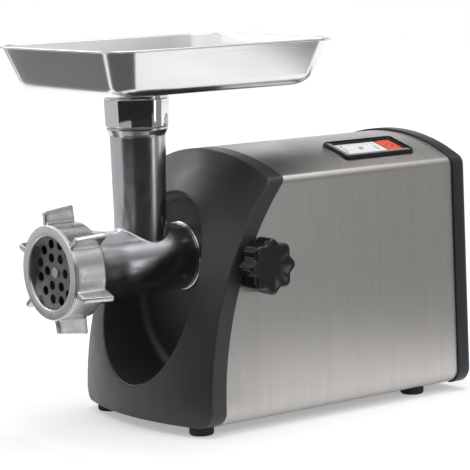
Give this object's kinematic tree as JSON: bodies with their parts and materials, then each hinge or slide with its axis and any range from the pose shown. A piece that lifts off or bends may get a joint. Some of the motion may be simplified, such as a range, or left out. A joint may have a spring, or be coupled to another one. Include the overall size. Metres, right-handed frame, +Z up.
{
  "type": "electric meat grinder",
  "caption": "Electric meat grinder: steel-wrapped motor body with a dark bulged front, side lock knob, roof switch panel, cast head with wing nut, cutting plate and food tray.",
  "frame": {"origin": "middle of the machine's footprint, on the table under its feet", "axes": "+Z up, -Y the side that the grinding head points to, +Y the side of the cord inlet, +X the side of the lock knob"},
  "size_m": [0.19, 0.364, 0.304],
  "materials": {
    "dark_plastic": "satin",
    "black_plastic": "satin",
    "gloss_black": "gloss",
    "white_plastic": "gloss",
    "red_plastic": "gloss",
    "blue_plastic": "matte",
    "board_green": "matte",
    "ivory_nylon": "satin",
    "carbon": "matte",
    "brushed_steel": "brushed",
    "polished_steel": "polished",
    "tray_steel": "satin",
    "plate_steel": "matte",
    "ground_steel": "ground",
    "zinc_steel": "satin",
    "sintered_steel": "matte",
    "laminated_steel": "matte",
    "polished_alloy": "polished",
    "satin_alloy": "satin",
    "cast_alloy": "cast",
    "copper": "satin",
    "bronze": "satin",
    "rubber": "matte"
  },
  "bodies": {
    "root": {"front_cover": "dark_plastic", "socket_sleeve": "polished_steel", "steel_wrap": "brushed_steel", "rear_cover": "black_plastic", "base_plate": "black_plastic", "feet": "rubber", "foot_screws": "zinc_steel", "cover_screws": "zinc_steel", "switch_bezel": "gloss_black", "switch_housing": "black_plastic", "key_switch": "blue_plastic", "control_board": "board_green", "gearcase_front": "cast_alloy", "gearcase_rear": "cast_alloy", "gearcase_screws": "zinc_steel", "gear_pins": "ground_steel", "output_bush": "bronze", "output_rear_bush": "bronze", "motor_stator": "laminated_steel", "field_coils": "copper", "motor_front_frame": "cast_alloy", "motor_rear_frame": "cast_alloy", "motor_bearings": "ground_steel", "brush_holders": "bronze", "carbon_brushes": "carbon", "motor_cradle": "black_plastic", "cord_gland": "black_plastic", "terminal_block": "ivory_nylon", "lock_bush": "bronze", "lock_washer": "gloss_black"},
    "rotor": {"rotor_shaft": "ground_steel", "rotor_core": "laminated_steel", "commutator": "copper", "cooling_fan": "black_plastic", "motor_pinion": "ground_steel"},
    "gear_a": {"gear_a": "ivory_nylon"},
    "gear_b": {"gear_b": "ivory_nylon"},
    "output": {"output_gear": "sintered_steel", "output_shaft": "ground_steel"},
    "head": {"grinder_head": "polished_alloy", "head_bush": "bronze", "thrust_washer": "ivory_nylon", "plate_key": "ground_steel"},
    "auger": {"auger": "cast_alloy", "drive_coupling": "ivory_nylon", "coupling_screw": "zinc_steel", "knife": "ground_steel"},
    "plate": {"cutting_plate": "plate_steel"},
    "nut": {"ring_nut": "satin_alloy"},
    "tray": {"tray": "tray_steel", "tray_neck": "polished_steel"},
    "bolt": {"lock_bolt": "ground_steel"},
    "knob": {"lock_knob": "gloss_black"},
    "rocker": {"rocker": "white_plastic"},
    "key": {"reverse_key": "red_plastic"}
  },
  "joints": [
    {"name": "rotor_spin", "type": "hinge", "parent": "root", "child": "rotor", "pos_m": [-0.00777, 0.09295, 0.064], "axis": [0, 1, 0], "continuous": true},
    {"name": "gear_a_spin", "type": "hinge", "parent": "root", "child": "gear_a", "pos_m": [0.02598, 0.01295, 0.06375], "axis": [0, 1, 0], "continuous": true},
    {"name": "gear_b_spin", "type": "hinge", "parent": "root", "child": "gear_b", "pos_m": [0.02234, 0.00295, 0.09806], "axis": [0, 1, 0], "continuous": true},
    {"name": "output_spin", "type": "hinge", "parent": "root", "child": "output", "pos_m": [-0.00777, -0.00205, 0.1315], "axis": [0, 1, 0], "continuous": true},
    {"name": "head_slide", "type": "slide", "parent": "root", "child": "head", "axis": [0, -1, 0], "range_m": [0, 0.12]},
    {"name": "auger_spin", "type": "hinge", "parent": "head", "child": "auger", "pos_m": [-0.00777, -0.10705, 0.1315], "axis": [0, 1, 0], "continuous": true},
    {"name": "plate_slide", "type": "slide", "parent": "head", "child": "plate", "axis": [0, -1, 0], "range_m": [0, 0.0212]},
    {"name": "nut_turn", "type": "hinge", "parent": "plate", "child": "nut", "pos_m": [-0.00777, -0.18195, 0.1315], "axis": [0, -1, 0], "range_deg": [0, 2520]},
    {"name": "tray_lift", "type": "slide", "parent": "head", "child": "tray", "axis": [0, 0, 1], "range_m": [0, 0.08]},
    {"name": "bolt_slide", "type": "slide", "parent": "root", "child": "bolt", "axis": [1, 0, 0], "range_m": [0, 0.0038]},
    {"name": "lock_turn", "type": "hinge", "parent": "bolt", "child": "knob", "pos_m": [0.09503, -0.04155, 0.1315], "axis": [1, 0, 0], "range_deg": [0, 1080]},
    {"name": "rocker_tilt", "type": "hinge", "parent": "root", "child": "rocker", "pos_m": [0.04107, 0.09475, 0.20475], "axis": [0.9568, 0, -0.2907], "range_deg": [-5, 5]},
    {"name": "key_press", "type": "slide", "parent": "root", "child": "key", "axis": [-0.2907, 0, -0.9568], "range_m": [0, 0.002], "stiffness_N_per_m": 600}
  ],
  "couplings": [
    {"joint": "gear_a_spin", "follows": "rotor_spin", "ratio": -0.22727},
    {"joint": "gear_b_spin", "follows": "rotor_spin", "ratio": 0.071429},
    {"joint": "output_spin", "follows": "rotor_spin", "ratio": -0.023109},
    {"joint": "auger_spin", "follows": "rotor_spin", "ratio": -0.023109},
    {"joint": "plate_slide", "follows": "nut_turn", "m_per_rad": 0.00047746},
    {"joint": "bolt_slide", "follows": "lock_turn", "m_per_rad": 0.00019894}
  ]
}
